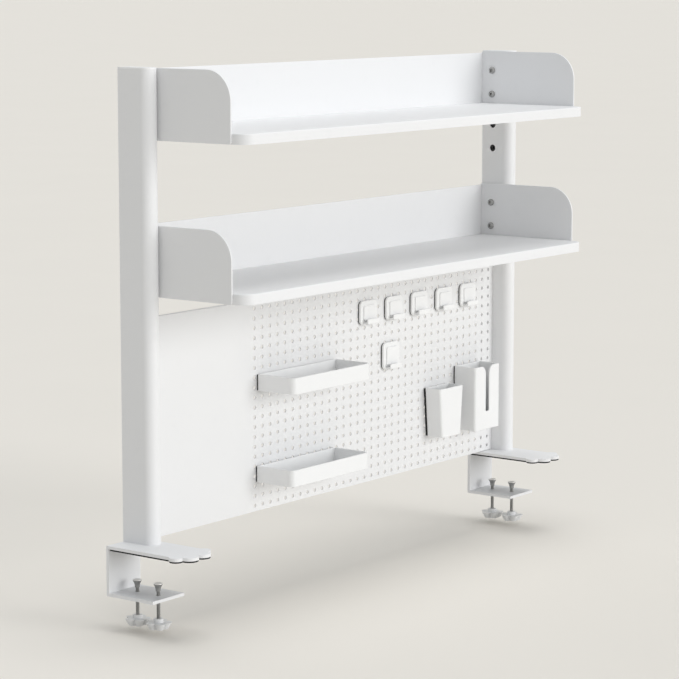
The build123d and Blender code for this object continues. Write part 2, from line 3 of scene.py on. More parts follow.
import bmesh
import bpy
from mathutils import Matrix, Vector


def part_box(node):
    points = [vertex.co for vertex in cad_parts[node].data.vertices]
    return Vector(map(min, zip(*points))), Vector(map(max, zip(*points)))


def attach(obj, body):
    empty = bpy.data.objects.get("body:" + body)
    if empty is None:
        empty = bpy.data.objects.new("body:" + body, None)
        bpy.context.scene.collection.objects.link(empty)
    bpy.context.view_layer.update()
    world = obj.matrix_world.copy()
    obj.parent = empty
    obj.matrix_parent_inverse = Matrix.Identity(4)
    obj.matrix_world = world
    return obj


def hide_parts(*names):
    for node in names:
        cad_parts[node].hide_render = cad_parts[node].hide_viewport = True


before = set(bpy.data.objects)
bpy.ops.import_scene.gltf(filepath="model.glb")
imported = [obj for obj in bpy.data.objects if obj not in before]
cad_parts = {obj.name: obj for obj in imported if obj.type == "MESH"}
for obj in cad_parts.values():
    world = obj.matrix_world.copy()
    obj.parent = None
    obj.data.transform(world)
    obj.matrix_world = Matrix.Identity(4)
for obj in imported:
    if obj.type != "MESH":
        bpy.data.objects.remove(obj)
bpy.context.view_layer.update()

bl_info = {
    "name": "Clamp-on desk shelf",
    "version": (1, 0, 0),
    "blender": (4, 5, 0),
    "location": "View3D > Sidebar > Desk Shelf",
    "description": "Dresses the packed desk shelf with modelled pieces and materials",
    "category": "Object",
}

# What lies closer than this counts as the same place.
NEAR = 0.0002
# Flat width left between the two bevels that make a round front.
ROUND_GAP = NEAR / 40
# How far a cutter reaches past what it cuts, and a piece into the one that it joins.
CUT_PAST = 0.005
OVERLAP = 0.001
# Faces that meet at less than this many degrees are shaded as one surface.
SMOOTH_BELOW = 32
UP = (0, 0, 1)
DOWN = (0, 0, -1)
FORWARD = (0, -1, 0)
# Two directions whose unit vectors' product is over this count as the same.
ALONG = 0.99

SIDES = ("left", "right")
ROWS = ("rear", "front")
LEVELS = ("upper", "lower")
HOOKS = ("hook_1", "hook_2", "hook_3", "hook_4", "hook_5")
ACCESSORIES = ("upper_tray", "lower_tray", "pen_cup", "slotted_box", *HOOKS, "tall_hook")

# A finish is a material of this script and the name of a slot that goes with it; pieces get only the
# material.
COATED = ("coat", "white_steel")
MOULDED = ("plastic", "white_plastic")
SCREW_STEEL = ("steel", "grey_steel")

# This script's materials by their short names; the first operator makes them.
materials = {}


# Sizes and colours

def length(name, description, default):
    """A length that the sidebar shows in the scene's unit."""
    return bpy.props.FloatProperty(name=name, description=description, default=default, min=0.0,
                                   unit="LENGTH", precision=4)


def colour(name, description, default):
    return bpy.props.FloatVectorProperty(name=name, description=description, default=default,
                                         subtype="COLOR", size=3, min=0.0, max=1.0)


def number(name, description, default):
    return bpy.props.FloatProperty(name=name, description=description, default=default, min=0.0)


class DeskShelfFrameSizes(bpy.types.PropertyGroup):
    """Sizes of the steel pieces."""
    post_wall: length("Post wall", "Thickness of the tube's wall", 0.0015)
    post_hole: length("Post hole", "Diameter of the shelf holes in the posts", 0.010)
    hole_line: length("Hole line", "Distance of the shelf holes from the post's back", 0.0195)
    hole_pair: length("Hole pair", "Distance between the two holes of a pair", 0.035)
    hole_drop: length("Hole drop", "Distance of a shelf's first hole below its end plate's top", 0.0282)
    spare_drop: length("Spare drop", "Distance of the spare pair below the upper pair", 0.080)
    cap: length("Cap", "Thickness of the post's cap", 0.002)
    coat_edge: length("Coated edge", "Rounding that the coat leaves on a sheet's edges", 0.0006)
    board_corner: length("Board corner", "Radius of the board's two front corners", 0.020)
    board_sheet: length("Board sheet", "Thickness of the board's sheet", 0.0012)
    end_plate_corner: length("End plate corner", "Radius of the end plate's upper front corner", 0.038)


class DeskShelfClampSizes(bpy.types.PropertyGroup):
    """Sizes of the clamps and their screws."""
    plate: length("Clamp plate", "Thickness of the clamp's steel", 0.004)
    bend: length("Clamp bend", "Outer radius of the clamp's bends", 0.0015)
    outer_lobe: length("Outer lobe", "Radius of the two outer lobes of the top plate", 0.009)
    outer_lobe_inset: length("Outer lobe inset", "Distance of their middles from the plate's sides", 0.0035)
    inner_lobe: length("Inner lobe", "Radius of the two inner lobes", 0.012)
    inner_lobe_spacing: length("Inner lobe spacing", "Distance between their middles", 0.023)
    inner_lobe_reach: length("Inner lobe reach", "How far they stand before the outer ones", 0.009)
    lobe_line: length("Lobe line", "Distance of the outer lobes before the desk's edge", 0.109)
    nut_hole: length("Nut hole", "Diameter of the holes in the lower plate", 0.0071)
    foot_neck: length("Foot neck", "Diameter of the pressure pad's neck", 0.0064)
    foot_rim: length("Foot rim", "Height of the pressure pad's rim", 0.0012)
    thread_pitch: length("Thread pitch", "Pitch of the clamp screws", 0.0008)
    thread_depth: length("Thread depth", "Depth of their thread", 0.00055)
    knob_lobe: length("Knob lobe", "Radius of the star knob's lobes", 0.0062)
    knob_foot: number("Knob foot", "Width of the knob's underside as a share of its top", 0.72)
    hub_radius: length("Hub radius", "Radius of the hub on the knob", 0.0065)
    hub_height: length("Hub height", "Height of the hub on the knob", 0.0047)
    knob_lobes: bpy.props.IntProperty(name="Knob lobes", description="Number of lobes", default=5, min=3)


class DeskShelfAccessorySizes(bpy.types.PropertyGroup):
    """Sizes of the moulded pieces."""
    tray_wall: length("Tray wall", "Thickness of the tray's walls", 0.002)
    tray_corner: length("Tray corner", "Radius of the tray's front corners", 0.008)
    cup_foot: length("Cup foot", "Width of the cup's underside", 0.048)
    cup_wall: length("Cup wall", "Thickness of the cup's walls", 0.002)
    cup_corner: length("Cup corner", "Radius of the cup's corners", 0.004)
    box_wall: length("Box wall", "Thickness of the box's walls", 0.0025)
    box_corner: length("Box corner", "Radius of the box's front corners", 0.004)
    slot_width: length("Slot width", "Width of the slot in the box's front", 0.009)
    slot_floor: length("Slot floor", "Height of the slot's lower end above the box's underside", 0.027)
    slot_mouth: length("Slot mouth", "Radius at the slot's mouth", 0.012)
    hook_plate: length("Hook plate", "Thickness of the hook's plate", 0.003)
    hook_corner: length("Hook corner", "Radius of the hook's corners", 0.007)
    hook_border: length("Hook border", "Width of the plate's border round the raised face", 0.0065)
    hook_face: length("Hook face", "Height of the raised face over the plate", 0.0016)
    lip_width: length("Lip width", "Width of the hook's lip", 0.027)
    lip_reach: length("Lip reach", "Gap between the raised face and the lip", 0.0048)
    lip_thickness: length("Lip thickness", "Thickness of the lip", 0.0022)
    lip_height: length("Lip height", "Height of the lip", 0.007)
    lip_rise: length("Lip rise", "Height of the lip's underside over the plate's lower edge", 0.0015)
    soft_edge: length("Soft edge", "Rounding of the moulded edges", 0.0008)


class DeskShelfPanelPattern(bpy.types.PropertyGroup):
    """Grid of the panel's holes."""
    pitch_x: length("Column pitch", "Distance between columns of holes", 0.01635)
    pitch_z: length("Row pitch", "Distance between rows of holes", 0.01333)
    columns: number("Columns", "Number of columns", 35)
    hole: length("Hole", "Diameter of a hole", 0.005)
    right_margin: length("Right margin", "Distance of the last column from the panel's right edge", 0.0122)
    top_margin: length("Top margin", "Distance of the first row from the panel's top", 0.0101)
    rim: length("Rim", "Width of the rounded rim round each hole", 0.0009)


class DeskShelfColours(bpy.types.PropertyGroup):
    """Colours of the finishes."""
    coat: colour("Powder coat", "Matt white of the steel", (0.837, 0.84, 0.848))
    plastic: colour("White plastic", "White of the moulded accessories", (0.90, 0.905, 0.91))
    knob: colour("Knob plastic", "Light grey of the knobs", (0.78, 0.785, 0.79))
    rubber: colour("Rubber", "Black of the desk pads", (0.008, 0.008, 0.009))
    steel: colour("Grey steel", "Grey of the screws that show", (0.40, 0.40, 0.395))
    zinc: colour("Zinc", "Bright grey of the hidden fasteners", (0.56, 0.57, 0.58))
    # Painted shade: the magnet sheets are real mounts, but their near-black colour stands in for the shadow
    # in the gap behind each accessory.
    magnet: colour("Magnet sheet", "Dark grey of the magnet sheets", (0.035, 0.035, 0.037))
    floor: colour("Floor", "Pale ground behind the object", (0.84, 0.805, 0.745))
    backdrop: colour("Backdrop", "The lit floor's colour, far behind the object", (0.770, 0.750, 0.703))
    sky: colour("Sky", "Tint of the light from all round", (0.945, 0.975, 1.0))


class DeskShelfStudio(bpy.types.PropertyGroup):
    """Floor and lamps."""
    floor_drop: length("Floor drop", "Distance of the floor below the lowest knob", 0.008)
    floor_size: length("Floor size", "Side of the floor, which reaches past the picture", 1000.0)
    world: number("World light", "Strength of the light from all round", 0.51)
    front: number("Front light", "Strength of the soft light from the front", 1.5)
    top: number("Top light", "Strength of the soft light from above", 0.95)
    back: number("Back light", "Strength of the faint light from behind", 0.35)
    spread: bpy.props.FloatProperty(
        name="Spread", description="Apparent size of the lights, which softens their shadows",
        default=math.radians(34.0), subtype="ANGLE")


# Modelling helpers

def clear_selection():
    if bpy.context.mode != "OBJECT":
        bpy.ops.object.mode_set(mode="OBJECT")
    bpy.ops.object.select_all(action="DESELECT")


def make_active(piece):
    clear_selection()
    piece.select_set(True)
    bpy.context.view_layer.objects.active = piece


def settle(piece):
    """Move the piece's place, turn and scale into its mesh."""
    make_active(piece)
    bpy.ops.object.transform_apply(location=True, rotation=True, scale=True)
    return piece


def start_box(name, low, high):
    """Add a cube that fills the space between two corners."""
    clear_selection()
    low = Vector(low)
    high = Vector(high)
    bpy.ops.mesh.primitive_cube_add(size=1, location=(low + high) / 2, scale=high - low)
    piece = bpy.context.object
    piece.name = name
    return settle(piece)


def start_round(name, radius, low, high, sides, top_radius=None):
    """Add a cylinder or cone between two points that differ along one axis."""
    clear_selection()
    low = Vector(low)
    high = Vector(high)
    span = high - low
    turn = span.to_track_quat("Z", "Y").to_euler()
    top = radius if top_radius is None else top_radius
    bpy.ops.mesh.primitive_cone_add(vertices=sides, radius1=radius, radius2=top, depth=span.length,
                                    location=(low + high) / 2, rotation=turn)
    piece = bpy.context.object
    piece.name = name
    return settle(piece)


def upright(name, radius, at, low, high, sides):
    """Add an upright cylinder at a place, between two heights."""
    return start_round(name, radius, (*at, low), (*at, high), sides)


def pick(piece, kind, test):
    """Go into edit mode and select the vertices, edges or faces that pass a test."""
    make_active(piece)
    bpy.ops.object.mode_set(mode="EDIT")
    bpy.ops.mesh.select_mode(type=kind)
    bpy.ops.mesh.select_all(action="DESELECT")
    mesh = bmesh.from_edit_mesh(piece.data)
    items = {"VERT": mesh.verts, "EDGE": mesh.edges, "FACE": mesh.faces}[kind]
    chosen = [item for item in items if test(item)]
    if not chosen:
        raise RuntimeError("nothing was picked on " + piece.name)
    for item in chosen:
        item.select_set(True)
    mesh.select_flush_mode()
    bmesh.update_edit_mesh(piece.data)


def leave_edit():
    bpy.ops.object.mode_set(mode="OBJECT")


def facing(direction):
    """Test for faces that look along a direction."""
    return lambda face: face.normal.dot(Vector(direction)) > ALONG


def edge_at(axis, **near):
    """Test for edges along an axis whose middle lies at the given coordinates."""
    def test(edge):
        first, second = (v.co for v in edge.verts)
        span = (second - first).normalized()
        if abs(span["xyz".index(axis)]) < ALONG:
            return False
        middle = (first + second) / 2
        return all(abs(middle["xyz".index(key)] - value) < NEAR for key, value in near.items())
    return test


def either(*tests):
    return lambda item: any(test(item) for test in tests)


def at_height(z):
    return lambda vertex: abs(vertex.co.z - z) < NEAR


def upright_edges(low, high, y):
    """Test for the two upright edges of a box at one depth."""
    return either(edge_at("z", x=low.x, y=y), edge_at("z", x=high.x, y=y))


def sloping(edge):
    """Test for edges that run up a side."""
    first, second = (v.co for v in edge.verts)
    return abs(first.z - second.z) > NEAR


def round_edges(piece, test, radius, segments):
    """Bevel the edges that pass a test to a round of one radius."""
    pick(piece, "EDGE", test)
    bpy.ops.mesh.bevel(offset=radius, offset_type="OFFSET", segments=segments, profile=0.5,
                       affect="EDGES", clamp_overlap=False)
    leave_edit()


def sink(piece, direction, wall, depth):
    """Inset the face on one side by a wall and push it in, which hollows the piece."""
    pick(piece, "FACE", facing(direction))
    bpy.ops.mesh.inset(thickness=wall, depth=0)
    push(Vector(direction) * -depth)
    leave_edit()


def push(move):
    """Extrude the picked faces."""
    bpy.ops.mesh.extrude_region_move(TRANSFORM_OT_translate={"value": Vector(move)})


def extrude(piece, test, move):
    pick(piece, "FACE", test)
    push(move)
    leave_edit()


def bevel_faces(piece, test, width, segments):
    """Round the edges of the faces that pass a test."""
    pick(piece, "FACE", test)
    bpy.ops.mesh.bevel(offset=width, segments=segments, affect="EDGES")
    leave_edit()


def squeeze(piece, height, share, centre):
    """Scale the vertices at a height about a point, by a share along X and one along Y."""
    pick(piece, "VERT", at_height(height))
    bpy.ops.transform.resize(value=(*share, 1), center_override=centre)
    leave_edit()


def use_modifier(piece, kind, **settings):
    """Add a modifier, set it and apply it."""
    make_active(piece)
    bpy.ops.object.modifier_add(type=kind)
    modifier = piece.modifiers[-1]
    for key, value in settings.items():
        setattr(modifier, key, value)
    bpy.ops.object.modifier_apply(modifier=modifier.name)


def combine(piece, tools, operation):
    """Add other pieces to this one or cut them from it, and delete them."""
    for tool in tools:
        use_modifier(piece, "BOOLEAN", object=tool, operation=operation, solver="EXACT")
        bpy.data.objects.remove(tool)
    return piece


def soften(piece, width, segments=3, sharper_than=40):
    """Round every edge that is sharper than an angle."""
    use_modifier(piece, "BEVEL", width=width, segments=segments, limit_method="ANGLE",
                 angle_limit=math.radians(sharper_than), use_clamp_overlap=True,
                 miter_outer="MITER_ARC")


def copy_piece(piece, name, shift):
    """Copy a piece with its own mesh to another place."""
    make_active(piece)
    bpy.ops.object.duplicate(linked=False)
    twin = bpy.context.object
    twin.name = name
    bpy.ops.transform.translate(value=shift)
    return settle(twin)


def join_pieces(pieces, name):
    clear_selection()
    for piece in pieces:
        piece.select_set(True)
    bpy.context.view_layer.objects.active = pieces[0]
    bpy.ops.object.join()
    pieces[0].name = name
    return pieces[0]


def finish_piece(piece, finish, body, *nodes):
    """Shade a piece, give it its material, and let it ride on its body in place of its nodes."""
    material, slot = finish
    settle(piece)
    bpy.ops.object.shade_smooth_by_angle(angle=math.radians(SMOOTH_BELOW))
    use_modifier(piece, "WEIGHTED_NORMAL", keep_sharp=True, weight=50)
    piece.data.materials.clear()
    piece.data.materials.append(materials[material])
    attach(piece, body)
    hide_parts(*nodes)


def finish_twins(piece, twin_name, nodes, finish, bodies):
    """Copy a piece to its twin's place and finish both."""
    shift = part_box(nodes[1])[0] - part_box(nodes[0])[0]
    twin = copy_piece(piece, twin_name, shift)
    finish_piece(piece, finish, bodies[0], nodes[0])
    finish_piece(twin, finish, bodies[1], nodes[1])


def finish_copies(piece, copies, finish):
    """Copy a piece to each node's place, finish the copies and drop the piece."""
    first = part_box(copies[0][2])[0]
    for name, body, node in copies:
        twin = copy_piece(piece, name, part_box(node)[0] - first)
        finish_piece(twin, finish, body, node)
    bpy.data.objects.remove(piece)


def middle_of(node):
    """Place of a node's middle, seen from above."""
    low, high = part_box(node)
    return (low.x + high.x) / 2, (low.y + high.y) / 2


def rod_radius():
    low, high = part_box("left_rear_screw_rod")
    return (high.x - low.x) / 2


def clamp_screw_copies(name, node, body):
    """Names of a piece of the clamp screws, of its body and of its node, for all four screws."""
    screws = [side + "_" + row for side in SIDES for row in ROWS]
    return [(screw + name, screw + body, screw + node) for screw in screws]


# Materials

def between(operation, swapped=False):
    """Method that puts an operation between a level and another value."""
    def method(level, other):
        values = (other, level) if swapped else (level, other)
        return level.sum(operation, *values)
    return method


class Level:
    """A number that varies over a surface, on which sums are written as plain expressions."""

    def __init__(self, recipe, socket):
        self.recipe = recipe
        self.socket = socket

    def sum(self, operation, *values):
        return self.recipe.node("ShaderNodeMath", {"operation": operation}, dict(enumerate(values)))

    def fraction(self):
        return self.sum("FRACT", self)

    __add__ = between("ADD")
    __radd__ = between("ADD", swapped=True)
    __sub__ = between("SUBTRACT")
    __rsub__ = between("SUBTRACT", swapped=True)
    __mul__ = between("MULTIPLY")
    __rmul__ = between("MULTIPLY", swapped=True)
    __truediv__ = between("DIVIDE")
    __pow__ = between("POWER")
    __lt__ = between("LESS_THAN")


class Recipe:
    """Builds one material's nodes."""

    def __init__(self, name):
        self.material = bpy.data.materials.new(name)
        self.material.use_nodes = True
        self.tree = self.material.node_tree
        self.shader = self.tree.nodes["Principled BSDF"]
        self.place = self.node("ShaderNodeTexCoord", {}, {}, "Object")

    def node(self, kind, settings, values, output=0):
        """Add a node, make its settings, fill its sockets and give back one of its outputs."""
        node = self.tree.nodes.new(kind)
        for key, value in settings.items():
            setattr(node, key, value)
        for key, value in values.items():
            if isinstance(value, Level):
                self.tree.links.new(value.socket, node.inputs[key])
            else:
                node.inputs[key].default_value = value
        return Level(self, node.outputs[output])

    def noise(self, scale, detail=2.0, place=None):
        """Noise from 0 to 1 with a number of features per metre."""
        return self.node("ShaderNodeTexNoise", {}, {"Vector": place or self.place, "Scale": scale,
                                                    "Detail": detail, "Roughness": 0.5})

    def stretched(self, x, y, z):
        """The place with each axis scaled on its own."""
        return self.node("ShaderNodeVectorMath", {"operation": "MULTIPLY"}, {0: self.place, 1: (x, y, z)})

    def coordinate(self, axis):
        return self.node("ShaderNodeSeparateXYZ", {}, {0: self.place}, axis)

    def ramp(self, value, low, high, to_low=0.0, to_high=1.0):
        """Map a range smoothly to another."""
        settings = {"interpolation_type": "SMOOTHSTEP"}
        ends = {"Value": value, 1: low, 2: high, 3: to_low, 4: to_high}
        return self.node("ShaderNodeMapRange", settings, ends)

    def mix(self, share, first, second):
        """Mix two colours."""
        settings = {"data_type": "RGBA"}
        colours = {0: share, 6: self.full(first), 7: self.full(second)}
        return self.node("ShaderNodeMix", settings, colours, 2)

    def tones(self, share, tint, darkest, lightest):
        """Mix a darker and a lighter tone of one colour."""
        return self.mix(share, shade(tint, darkest), shade(tint, lightest))

    @staticmethod
    def full(tint):
        return tint if isinstance(tint, Level) else (*tint, 1.0)

    def bump(self, height, distance, strength=1.0, normal=None):
        values = {"Height": height, "Distance": distance, "Strength": strength}
        if normal is not None:
            values["Normal"] = normal
        return self.node("ShaderNodeBump", {}, values)

    def set(self, **values):
        """Fill the shader's own sockets; underscores stand for spaces."""
        for key, value in values.items():
            socket = self.shader.inputs[key.replace("_", " ")]
            if isinstance(value, Level):
                self.tree.links.new(value.socket, socket)
            else:
                socket.default_value = self.full(value) if isinstance(value, tuple) else value
        return self.material


class WorldRecipe(Recipe):
    """Builds the world's nodes."""

    def __init__(self, world):
        world.use_nodes = True
        self.tree = world.node_tree
        self.tree.nodes.remove(self.tree.nodes["Background"])


def shade(tint, share):
    """A colour made darker or lighter by a share."""
    return tuple(min(1.0, part * share) for part in tint)


def powder_coat(recipe, tint):
    """Colour, roughness and bump of a matt powder coat: a fine peel with soft clouds in it."""
    cloud = recipe.noise(scale=9.0, detail=3.0)
    peel = recipe.noise(scale=750.0)
    dust = recipe.ramp(recipe.noise(scale=60.0, detail=4.0), low=0.55, high=0.8)
    base = recipe.tones(cloud, tint, darkest=0.985, lightest=1.012)
    base = recipe.mix(dust * 0.25, base, shade(tint, 0.94))
    roughness = 0.44 + 0.08 * cloud + 0.06 * peel
    return base, roughness, recipe.bump(peel, distance=0.00006, strength=0.55)


def make_coat(tint):
    recipe = Recipe("white_powder_coat")
    base, roughness, normal = powder_coat(recipe, tint)
    return recipe.set(Base_Color=base, Roughness=roughness, Normal=normal, IOR=1.48)


def make_panel_coat(tint, pattern):
    """Powder coat with a pressed-in rim round each punched hole; the rim's colour is darkened as painted
    shade.
    """
    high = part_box("panel")[1]
    recipe = Recipe("panel_powder_coat")
    base, roughness, normal = powder_coat(recipe, tint)
    last_x = high.x - pattern.right_margin
    first_z = high.z - pattern.top_margin
    across = (last_x - recipe.coordinate("X")) / pattern.pitch_x + 0.5
    down = (first_z - recipe.coordinate("Z")) / pattern.pitch_z + 0.5
    off_x = (across.fraction() - 0.5) * pattern.pitch_x
    off_z = (down.fraction() - 0.5) * pattern.pitch_z
    from_middle = (off_x * off_x + off_z * off_z) ** 0.5
    hole = pattern.hole / 2
    in_grid = across < pattern.columns
    rim = recipe.ramp(from_middle, hole, hole + pattern.rim, to_low=1.0, to_high=0.0) * in_grid
    normal = recipe.bump(1.0 - rim, distance=0.0003, strength=0.8, normal=normal)
    # Painted shade: the colour is darkened on each hole's rim, where the rim slopes into the hole.
    base = recipe.mix(rim * 0.35, base, shade(tint, 0.86))
    return recipe.set(Base_Color=base, Roughness=roughness, Normal=normal, IOR=1.48)


def make_plastic(name, tint, grain):
    """Moulded plastic with a fine spark-eroded grain and faint flow marks."""
    recipe = Recipe(name)
    flow = recipe.noise(scale=28.0, place=recipe.stretched(1.0, 1.0, 0.35))
    fine = recipe.noise(scale=grain, detail=1.0)
    base = recipe.tones(flow, tint, darkest=0.985, lightest=1.01)
    roughness = 0.36 + 0.10 * fine + 0.04 * flow
    normal = recipe.bump(fine, distance=0.00004, strength=0.5)
    return recipe.set(Base_Color=base, Roughness=roughness, Normal=normal, IOR=1.46)


def make_rubber(name, tint):
    """Matt rubber sheet: grainy, with a grey bloom in places."""
    recipe = Recipe(name)
    grain = recipe.noise(scale=1400.0)
    bloom = recipe.ramp(recipe.noise(scale=70.0, detail=4.0), low=0.45, high=0.8)
    base = recipe.mix(bloom * 0.5, tint, shade(tint, 2.2))
    normal = recipe.bump(grain, distance=0.00008, strength=0.7)
    return recipe.set(Base_Color=base, Roughness=0.74 + 0.14 * grain, Normal=normal,
                      Specular_IOR_Level=0.2)


def make_metal(name, tint, streak, roughness, metallic=1.0, painted_highlight_above=None):
    """Turned or plated metal with fine streaks and stains; above a height its colour is brightened as a
    painted highlight.
    """
    recipe = Recipe(name)
    streaks = recipe.noise(scale=1.0, place=recipe.stretched(*streak))
    stain = recipe.noise(scale=160.0, detail=3.0)
    base = recipe.tones(stain, tint, darkest=0.86, lightest=1.08)
    if painted_highlight_above is not None:
        # Painted highlight: above this height the colour is made twice as bright, standing in for the light
        # that the pad's top catches.
        painted_highlight = recipe.ramp(recipe.coordinate("Z"), painted_highlight_above - NEAR, painted_highlight_above + NEAR)
        base = recipe.mix(painted_highlight, base, shade(tint, 2.0))
    rough = roughness + 0.12 * streaks + 0.08 * stain
    normal = recipe.bump(streaks, distance=0.00002, strength=0.5)
    return recipe.set(Base_Color=base, Metallic=metallic, Roughness=rough, Normal=normal)


class DESKSHELF_OT_materials(bpy.types.Operator):
    """Make the finishes of all pieces"""
    bl_idname = "desk_shelf.materials"
    bl_label = "Finishes"

    def execute(self, context):
        colours = context.scene.shelf_colours
        clamps = context.scene.shelf_clamps
        tints = {name: tuple(getattr(colours, name)) for name in DeskShelfColours.__annotations__}
        turned = {"streak": (900, 900, 60), "roughness": 0.34, "metallic": 0.85}
        # The pads' tops and upper rims get a painted highlight above this height.
        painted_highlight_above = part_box("left_rear_screw_pad")[1].z - clamps.foot_rim * FOOT_PAINTED_HIGHLIGHT
        materials.update(
            coat=make_coat(tints["coat"]),
            panel=make_panel_coat(tints["coat"], context.scene.shelf_pattern),
            plastic=make_plastic("white_moulded_plastic", tints["plastic"], grain=1100.0),
            knob=make_plastic("grey_knob_plastic", tints["knob"], grain=700.0),
            rubber=make_rubber("black_desk_rubber", tints["rubber"]),
            steel=make_metal("grey_screw_steel", tints["steel"], **turned),
            foot=make_metal("pressure_pad_steel", tints["steel"], **turned, painted_highlight_above=painted_highlight_above),
            zinc=make_metal("zinc_plate", tints["zinc"], streak=(400, 400, 400), roughness=0.28),
            # The magnet sheets are made near-black as painted shade of the gap behind each accessory.
            magnet=make_rubber("dark_magnet_sheet", tints["magnet"]),
        )
        return {"FINISHED"}


# Steel frame

# Radius of a post's two rear corners.
POST_BACK_RADIUS = 0.002
# Wall and clearance between a post's outline and its cap's plug.
CAP_PLUG = 0.0017
# Radius of the fold round a board's top, and of an end plate's three small corners.
BOARD_EDGE = 0.0016
END_PLATE_SMALL = 0.003
# A shelf screw: its head's height and the radius of its shank and of its socket are shares of the
# head's radius, the dome's rounding and the socket's floor are shares of the head's height.
SCREW_HEAD_HEIGHT = 0.6
SCREW_SHANK = 0.6
SCREW_DOME = 0.6
SCREW_SOCKET = 0.46
SCREW_SOCKET_FLOOR = 0.35


def round_like_post(piece, low, high):
    """Give an upright box the post's outline: half-round in front, small corners at the back."""
    half = (high.x - low.x) / 2
    round_edges(piece, upright_edges(low, high, low.y), half - ROUND_GAP, segments=20)
    round_edges(piece, upright_edges(low, high, high.y), POST_BACK_RADIUS, segments=4)


def post_drills(side, low, high, sizes):
    """Cylinders where the shelf holes go through the inner wall."""
    inner = high.x if side == "left" else low.x
    deep = sizes.post_wall * 2
    y = high.y - sizes.hole_line
    tops = [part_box(level + "_" + side + "_end_plate")[1].z for level in LEVELS]
    heights = [top - sizes.hole_drop for top in tops]
    heights.append(heights[0] - sizes.spare_drop)
    tools = []
    for first in heights:
        for z in (first, first - sizes.hole_pair):
            tools.append(start_round("drill", sizes.post_hole / 2, (inner - deep, y, z),
                                     (inner + deep, y, z), sides=32))
    return tools


class DESKSHELF_OT_posts(bpy.types.Operator):
    """Model the two posts: tubes with a flat back, a round front and punched shelf holes"""
    bl_idname = "desk_shelf.posts"
    bl_label = "Posts"

    def execute(self, context):
        sizes = context.scene.shelf_frame
        for side in SIDES:
            low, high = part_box(side + "_post")
            post = start_box(side + "_post_tube", low, high)
            round_like_post(post, low, high)
            pick(post, "FACE", either(facing(UP), facing(DOWN)))
            bpy.ops.mesh.inset(thickness=sizes.post_wall, depth=0)
            bpy.ops.mesh.bridge_edge_loops()
            leave_edit()
            combine(post, post_drills(side, low, high, sizes), "DIFFERENCE")
            finish_piece(post, COATED, "frame", side + "_post")
        return {"FINISHED"}


class DESKSHELF_OT_caps(bpy.types.Operator):
    """Model the plugs that close the posts"""
    bl_idname = "desk_shelf.caps"
    bl_label = "Post caps"

    def execute(self, context):
        sizes = context.scene.shelf_frame
        soft = context.scene.shelf_accessories.soft_edge
        for side in SIDES:
            low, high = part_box(side + "_post_cap")
            lid_low = Vector((low.x, low.y, high.z - sizes.cap))
            cap = start_box(side + "_post_plug", lid_low, high)
            round_like_post(cap, low, high)
            sink(cap, DOWN, CAP_PLUG, low.z - lid_low.z)
            soften(cap, soft)
            finish_piece(cap, MOULDED, "frame", side + "_post_cap")
        return {"FINISHED"}


class DESKSHELF_OT_boards(bpy.types.Operator):
    """Model the shelf boards: pressed pans with round front corners, open below"""
    bl_idname = "desk_shelf.boards"
    bl_label = "Boards"

    def execute(self, context):
        sizes = context.scene.shelf_frame
        for level in LEVELS:
            low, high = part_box(level + "_shelf_board")
            board = start_box(level + "_board_pan", low, high)
            round_edges(board, upright_edges(low, high, low.y), sizes.board_corner, segments=10)
            sink(board, DOWN, sizes.board_sheet, high.z - low.z - sizes.board_sheet)
            on_top = at_height(high.z)
            pick(board, "EDGE", lambda edge: all(on_top(v) for v in edge.verts))
            bpy.ops.mesh.bevel(offset=BOARD_EDGE, segments=4, affect="EDGES")
            leave_edit()
            finish_piece(board, COATED, "frame", level + "_shelf_board")
        return {"FINISHED"}


class DESKSHELF_OT_back_plates(bpy.types.Operator):
    """Model the plates that close the shelves at the back"""
    bl_idname = "desk_shelf.back_plates"
    bl_label = "Back plates"

    def execute(self, context):
        sizes = context.scene.shelf_frame
        for level in LEVELS:
            low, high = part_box(level + "_back_plate")
            plate = start_box(level + "_back_sheet", low, high)
            round_edges(plate, edge_at("x", z=high.z), sizes.coat_edge, segments=4)
            finish_piece(plate, COATED, "frame", level + "_back_plate")
        return {"FINISHED"}


class DESKSHELF_OT_end_plates(bpy.types.Operator):
    """Model the four end plates with their large round corners"""
    bl_idname = "desk_shelf.end_plates"
    bl_label = "End plates"

    def execute(self, context):
        sizes = context.scene.shelf_frame
        for level in LEVELS:
            for side in SIDES:
                node = level + "_" + side + "_end_plate"
                low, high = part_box(node)
                plate = start_box(level + "_" + side + "_cheek", low, high)
                round_edges(plate, edge_at("x", y=low.y, z=high.z), sizes.end_plate_corner, segments=24)
                small = either(edge_at("x", y=low.y, z=low.z), edge_at("x", y=high.y, z=low.z),
                               edge_at("x", y=high.y, z=high.z))
                round_edges(plate, small, END_PLATE_SMALL, segments=4)
                soften(plate, sizes.coat_edge)
                finish_piece(plate, COATED, "frame", node)
        return {"FINISHED"}


def shelf_screw(way, face, far, y, z, radius):
    """One screw: shank, domed head and hexagonal socket."""
    head = radius * SCREW_HEAD_HEIGHT
    top = face + way * head
    piece = start_round("screw", radius, (face, y, z), (top, y, z), sides=28)
    pick(piece, "FACE", facing((-way, 0, 0)))
    bpy.ops.mesh.inset(thickness=radius * (1 - SCREW_SHANK), depth=0)
    push((far - face, 0, 0))
    leave_edit()
    bevel_faces(piece, facing((way, 0, 0)), head * SCREW_DOME, segments=4)
    socket_floor = face + way * head * SCREW_SOCKET_FLOOR
    key = start_round("key", radius * SCREW_SOCKET, (socket_floor, y, z),
                      (top + way * CUT_PAST, y, z), sides=6)
    return combine(piece, [key], "DIFFERENCE")


